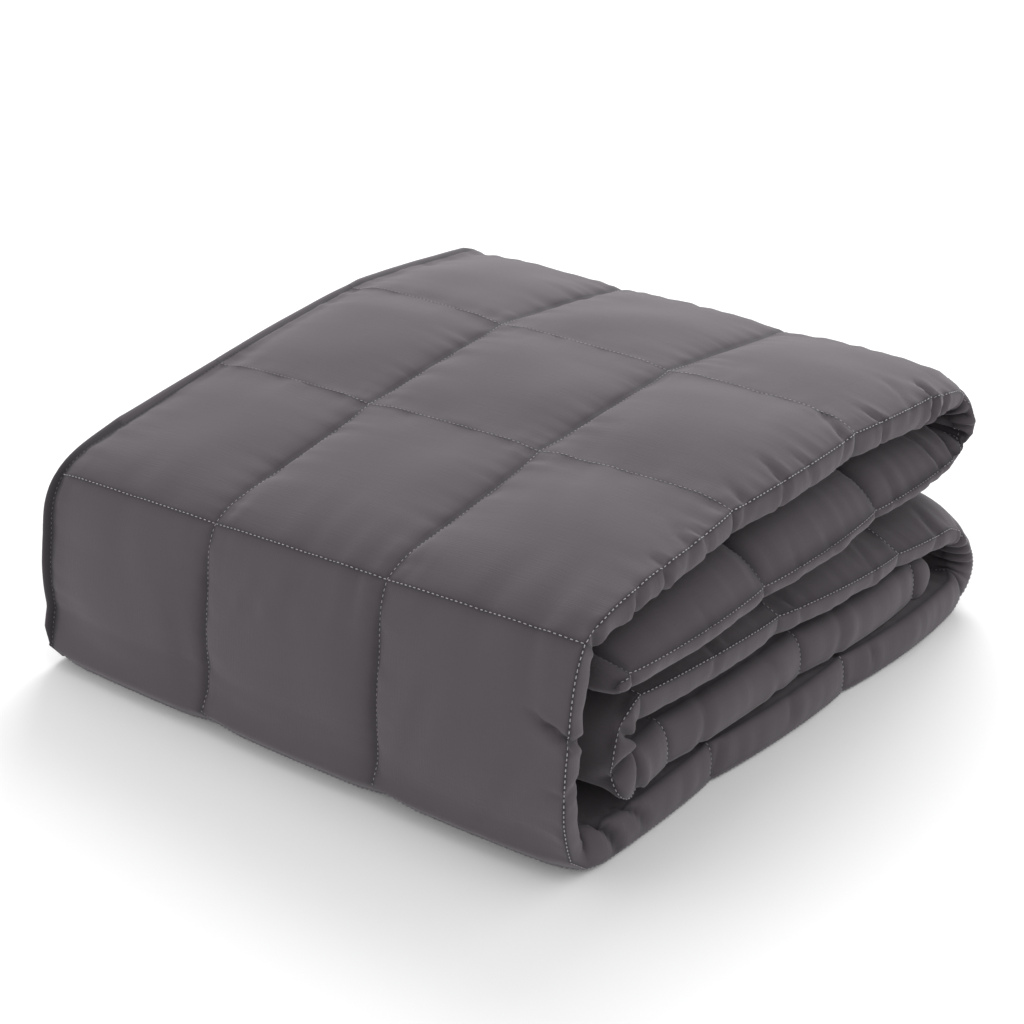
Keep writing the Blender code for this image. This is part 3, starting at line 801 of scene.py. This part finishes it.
def resample(points, normals, pitch):
    """Places every pitch along a line of points, with the line's direction and the cloth's normal there."""
    steps = np.linalg.norm(np.diff(points, axis=0), axis=1)
    along = np.concatenate([[0.0], np.cumsum(steps)])
    count = max(int(along[-1] / pitch), 1)
    wanted = (np.arange(count) + 0.5) * along[-1] / count
    at = np.stack([np.interp(wanted, along, points[:, k]) for k in range(3)], axis=1)
    ahead = np.stack([np.interp(wanted + pitch / 4, along, points[:, k]) for k in range(3)], axis=1) - at
    up = np.stack([np.interp(wanted, along, normals[:, k]) for k in range(3)], axis=1)
    return at, ahead, up


def stitch_points(at, ahead, up):
    """The eight ring points and two ends of each stitch, a low spindle that lies along its seam."""
    ahead = ahead / np.maximum(np.linalg.norm(ahead, axis=1, keepdims=True), 1e-9)
    side = np.cross(ahead, up)
    side = side / np.maximum(np.linalg.norm(side, axis=1, keepdims=True), 1e-9)
    up = np.cross(side, ahead)
    rows = []
    for along, radius in SPINDLE:
        raised = STITCH_RAISED if radius else -STITCH_RAISED
        centre = at + ahead * along * STITCH_LENGTH + up * THREAD_RADIUS * raised
        if not radius:
            rows.append(centre[:, None, :])
            continue
        ring = [
            centre + (side * math.cos(turn) + up * math.sin(turn)) * THREAD_RADIUS * radius
            for turn in (0.0, math.pi / 2, math.pi, math.pi * 1.5)
        ]
        rows.append(np.stack(ring, axis=1))
    return np.concatenate(rows, axis=1)


STITCH_FACES = [
    *[[0, 1 + (i + 1) % 4, 1 + i] for i in range(4)],
    *[[1 + i, 1 + (i + 1) % 4, 5 + (i + 1) % 4, 5 + i] for i in range(4)],
    *[[9, 5 + i, 5 + (i + 1) % 4] for i in range(4)],
]


def sewn_lines(strip, places, points, normals):
    """Every line of stitches as points and normals, on both faces."""
    parts = [((slice(None), seam), LONG_SUNK) for seam in OUTER_SEAMS[1:-1] + INNER_SEAMS[1:-1]]
    for place in strip.seams:
        row = min(range(len(places)), key=lambda i: abs(places[i] - place))
        low = place > strip.runs[CORE][0] or strip.runs[BOTTOM][0] < place < strip.runs[BOTTOM][1]
        outer_end = OUTER_COUNT + (RIM_STEPS if low else 0)
        parts += [((row, slice(outer_end)), 0.0), ((row, slice(INNER_START, LEFT_START)), INNER_SUNK)]
    parts += hem_parts(strip, np.array(places))
    return [(points[part] - normals[part] * sunk, normals[part]) for part, sunk in parts]


def hem_parts(strip, places):
    """The hem's stitches: on the inner face under the top layer, and on the outer face from there on."""
    turn_over = strip.runs[SECOND][1] + HEM_CHANGE * (strip.runs[TOP][0] - strip.runs[SECOND][1])
    under_top = places < turn_over
    visible = (places >= turn_over) & (places < strip.runs[CORE][0])
    return [
        ((under_top, INNER_SEAMS[0]), 0.0), ((under_top, INNER_SEAMS[-1]), 0.0),
        ((visible, OUTER_SEAMS[0]), LEFT_SUNK), ((visible, OUTER_SEAMS[-1]), 0.0),
    ]


def thread_mesh(lines):
    stitches = [stitch_points(*resample(points, normals, STITCH_PITCH)) for points, normals in lines]
    points = np.concatenate(stitches)
    count = points.shape[1]
    starts = [number * count for number in range(len(points))]
    faces = [[start + corner for corner in face] for start in starts for face in STITCH_FACES]
    mesh = bpy.data.meshes.new("quilting_thread")
    mesh.from_pydata(points.reshape(-1, 3).tolist(), [], faces)
    mesh.shade_smooth()
    return mesh


# ---- Materials ----

COTTON, PALE_COTTON = (0.064, 0.0558, 0.0625, 1.0), (0.090, 0.0790, 0.0875, 1.0)
THREAD, PALE_THREAD = (0.22, 0.205, 0.225, 1.0), (0.36, 0.34, 0.37, 1.0)
PAINTED_SHADE_TINT = (0.25, 0.24, 0.27, 1.0)  # painted shade: what the cotton's colour is multiplied by on a seam or in a crease
PAINTED_SHADE_FADE = 0.0016  # how far from a seam its painted shade fades
YARN_PITCH = 0.0009
# Mottle is the yarn's random tone; Seam Shade is how strongly shade is painted along the seams and in the
# creases.
MOTTLE, SEAM_SHADE = 0.8, 0.75
SLUB_SCALES = (60.0, 1500.0)  # along the yarn and across it
BLOTCH_SCALE = 16.0
WEAVE_HEIGHT = 0.08  # beside that of the slubs
ROUGHNESS, ROUGHER = 0.72, 0.2  # of smooth yarn, and what a slub adds
BUMP_DEPTH, BUMP_STRENGTH = 0.0004, 0.6
SHEEN = {
    "Sheen Weight": 0.22, "Sheen Roughness": 0.45, "Sheen Tint": (0.86, 0.82, 0.86, 1.0),
    "Specular IOR Level": 0.25,
}


def new_group(name, inputs, outputs):
    """An empty shader node group with named sockets, each given as name, kind and first value."""
    tree = bpy.data.node_groups.new(name, "ShaderNodeTree")
    for label, kind, value in inputs:
        socket = tree.interface.new_socket(label, in_out="INPUT", socket_type=kind)
        if value is not None:
            socket.default_value = value
    for label, kind in outputs:
        tree.interface.new_socket(label, in_out="OUTPUT", socket_type=kind)
    return tree, tree.nodes.new("NodeGroupInput"), tree.nodes.new("NodeGroupOutput")


def node(tree, kind, links=None, **settings):
    """A node with its settings, and with links or values for its inputs."""
    made = tree.nodes.new(kind)
    for key, value in settings.items():
        setattr(made, key, value)
    for key, value in (links or {}).items():
        socket = made.inputs[key]
        if isinstance(value, bpy.types.NodeSocket):
            tree.links.new(value, socket)
        else:
            socket.default_value = value
    return made


def maths(tree, operation, *values):
    return node(tree, "ShaderNodeMath", dict(enumerate(values)), operation=operation).outputs[0]


def mix_colours(tree, share, first, second, blend="MIX"):
    """The two colours blended by a share, through the colour sockets of a Mix node."""
    links = {0: share, 6: first, 7: second}
    return node(tree, "ShaderNodeMix", links, data_type="RGBA", blend_type=blend).outputs[2]


def woven_cotton_group():
    """Plain weave in the cloth's own directions, with slubs, soft wear, and shade painted darker along the
    seams and in the creases.
    """
    tree, given, result = new_group(
        "woven_cotton",
        [
            ("Colour", "NodeSocketColor", (0.1, 0.1, 0.1, 1.0)),
            ("Pale Colour", "NodeSocketColor", (0.2, 0.2, 0.2, 1.0)),
            ("Yarn Pitch", "NodeSocketFloat", 0.0007),
            ("Mottle", "NodeSocketFloat", 0.5),
            ("Seam Shade", "NodeSocketFloat", 0.5),
        ],
        [("Colour", "NodeSocketColor"), ("Roughness", "NodeSocketFloat"), ("Height", "NodeSocketFloat")],
    )
    cloth = node(tree, "ShaderNodeUVMap", uv_map="cloth").outputs[0]
    place = node(tree, "ShaderNodeTexCoord").outputs["Object"]
    split = node(tree, "ShaderNodeSeparateXYZ", {0: cloth})
    turns = maths(tree, "DIVIDE", 2 * math.pi, given.outputs["Yarn Pitch"])
    warp = maths(tree, "SINE", maths(tree, "MULTIPLY", split.outputs[0], turns))
    weft = maths(tree, "SINE", maths(tree, "MULTIPLY", split.outputs[1], turns))
    weave = maths(tree, "MULTIPLY", warp, weft)
    along, aside = SLUB_SCALES
    slubs, cross = (
        node(tree, "ShaderNodeTexNoise", {
            0: node(tree, "ShaderNodeMapping", {0: cloth, "Scale": scales}).outputs[0],
            "Scale": 1.0, "Detail": 2.0,
        }).outputs[0]
        for scales in ((along, aside, 1.0), (aside, along, 1.0))
    )
    threads = maths(tree, "MULTIPLY", maths(tree, "ADD", slubs, cross), 0.5)
    blotch = node(tree, "ShaderNodeTexNoise", {
        0: place, "Scale": BLOTCH_SCALE, "Detail": 5.0, "Roughness": 0.6,
    }).outputs[0]
    shade = maths(tree, "ADD", maths(tree, "MULTIPLY", threads, 0.5), maths(tree, "MULTIPLY", blotch, 0.5))
    shade = maths(tree, "SUBTRACT", shade, 0.5)
    shade = maths(tree, "MULTIPLY_ADD", shade, given.outputs["Mottle"], 0.5)
    tinted = mix_colours(tree, shade, given.outputs["Colour"], given.outputs["Pale Colour"])
    # Painted shade: near a seam's groove and in a crease, the colour is multiplied darker where shade falls.
    nearest = maths(
        tree, "MINIMUM",
        node(tree, "ShaderNodeAttribute", attribute_name="from_cross_seam").outputs["Fac"],
        node(tree, "ShaderNodeAttribute", attribute_name="from_long_seam").outputs["Fac"],
    )
    seam = maths(tree, "EXPONENT", maths(tree, "DIVIDE", nearest, -PAINTED_SHADE_FADE))
    crease = node(tree, "ShaderNodeAttribute", attribute_name="crease_shade").outputs["Fac"]
    shaded = maths(tree, "MULTIPLY", maths(tree, "MAXIMUM", seam, crease), given.outputs["Seam Shade"])
    darker = mix_colours(tree, shaded, tinted, PAINTED_SHADE_TINT, "MULTIPLY")
    tree.links.new(darker, result.inputs["Colour"])
    rough = maths(tree, "MULTIPLY_ADD", threads, ROUGHER, ROUGHNESS)
    tree.links.new(rough, result.inputs["Roughness"])
    height = maths(tree, "ADD", maths(tree, "MULTIPLY", weave, WEAVE_HEIGHT), threads)
    tree.links.new(height, result.inputs["Height"])
    return tree


def new_material(name, values):
    """A material with its node tree and its main shader, which takes the given values."""
    material = bpy.data.materials.new(name)
    material.use_nodes = True
    shader = material.node_tree.nodes["Principled BSDF"]
    for key, value in values.items():
        shader.inputs[key].default_value = value
    return material, material.node_tree, shader


def cotton_material():
    material, tree, shader = new_material("grey_cotton", SHEEN)
    woven = node(tree, "ShaderNodeGroup", {
        "Colour": COTTON, "Pale Colour": PALE_COTTON, "Yarn Pitch": YARN_PITCH,
        "Mottle": MOTTLE, "Seam Shade": SEAM_SHADE,
    }, node_tree=woven_cotton_group())
    tree.links.new(woven.outputs["Colour"], shader.inputs["Base Color"])
    tree.links.new(woven.outputs["Roughness"], shader.inputs["Roughness"])
    bump = node(tree, "ShaderNodeBump", {
        "Height": woven.outputs["Height"], "Distance": BUMP_DEPTH, "Strength": BUMP_STRENGTH,
    })
    tree.links.new(bump.outputs[0], shader.inputs["Normal"])
    return material


def thread_material():
    material, tree, shader = new_material("pale_thread", {"Roughness": 0.55, "Sheen Weight": 0.2})
    place = node(tree, "ShaderNodeTexCoord").outputs["Object"]
    fibre = node(tree, "ShaderNodeTexNoise", {0: place, "Scale": 900.0, "Detail": 2.0}).outputs[0]
    ramp = node(tree, "ShaderNodeValToRGB", {0: fibre})
    for stop, position, colour in zip(ramp.color_ramp.elements, (0.3, 0.7), (THREAD, PALE_THREAD)):
        stop.position = position
        stop.color = colour
    tree.links.new(ramp.outputs[0], shader.inputs["Base Color"])
    return material


# ---- The object ----


def add_object(name, data):
    made = bpy.data.objects.new(name, data)
    bpy.context.scene.collection.objects.link(made)
    return made


def show(mesh, material):
    piece = add_object(mesh.name, mesh)
    mesh.materials.append(material)
    return piece


def make_blanket():
    strip = Strip()
    places, points, crease_shade, shift = blanket_grid(strip)
    mesh = grid_mesh("quilted_blanket", points)
    add_cloth_map(mesh, places)
    add_seam_shades(mesh, strip, places, crease_shade)
    blanket = show(mesh, cotton_material())
    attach(blanket, "root")
    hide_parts(NODE)
    normals = outward(points)
    thread = show(thread_mesh(sewn_lines(strip, places, points, normals)), thread_material())
    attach(thread, "root")
    return shift


# ---- The studio ----

EYE = (0.85282, -0.66744, 0.61895)  # from the left end of the shoulder seam: across, back, up
AZIMUTH = math.radians(37.8141)
ELEVATION = math.radians(26.5136)
SENSOR = 36.0
LENS = 1.9189 * SENSOR
FLOOR_HALF, FLOOR_DROP = 6.0, 0.0004
WORLD_STRENGTH = 0.90
LIGHTS_AIM = (0.0, 0.0, 0.08)

# One row for each soft light, in metres and watts.
Light = namedtuple("Light", "name place size power")
LIGHTS = (
    Light("key", (-1.2, 2.5, 2.3), 2.2, 88.0),
    Light("fill", (-1.6, -2.0, 1.2), 1.6, 8.0),
    Light("side", (1.6, -0.2, 2.0), 1.2, 5.0),
)


def make_camera(shift):
    data = bpy.data.cameras.new("camera")
    data.sensor_width = SENSOR
    data.lens = LENS
    camera = add_object("camera", data)
    camera.location = Vector(EYE) - Vector((WIDTH / 2, 0.0, 0.0)) + Vector(shift)
    camera.rotation_euler = (math.pi / 2 - ELEVATION, 0.0, AZIMUTH)
    bpy.context.scene.camera = camera


def make_floor():
    half = FLOOR_HALF
    corners = [(-half, -half, 0), (half, -half, 0), (half, half, 0), (-half, half, 0)]
    mesh = bpy.data.meshes.new("studio_floor")
    mesh.from_pydata(corners, [], [(0, 1, 2, 3)])
    material, _, _ = new_material("pale_floor", {"Base Color": (0.93, 0.93, 0.93, 1.0), "Roughness": 0.8})
    floor = show(mesh, material)
    floor.location.z = -FLOOR_DROP


def add_light(light):
    data = bpy.data.lights.new(light.name, "AREA")
    data.size = light.size
    data.energy = light.power
    lamp = add_object(light.name, data)
    lamp.location = light.place
    lamp.rotation_euler = (Vector(LIGHTS_AIM) - Vector(light.place)).to_track_quat("-Z", "Y").to_euler()


def make_studio():
    world = bpy.data.worlds.new("studio")
    world.use_nodes = True
    background = world.node_tree.nodes["Background"]
    background.inputs["Color"].default_value = (1.0, 1.0, 1.0, 1.0)
    background.inputs["Strength"].default_value = WORLD_STRENGTH
    bpy.context.scene.world = world
    bpy.context.scene.view_settings.view_transform = "Standard"
    for light in LIGHTS:
        add_light(light)


make_floor()
shift = make_blanket()
make_camera(shift)
make_studio()
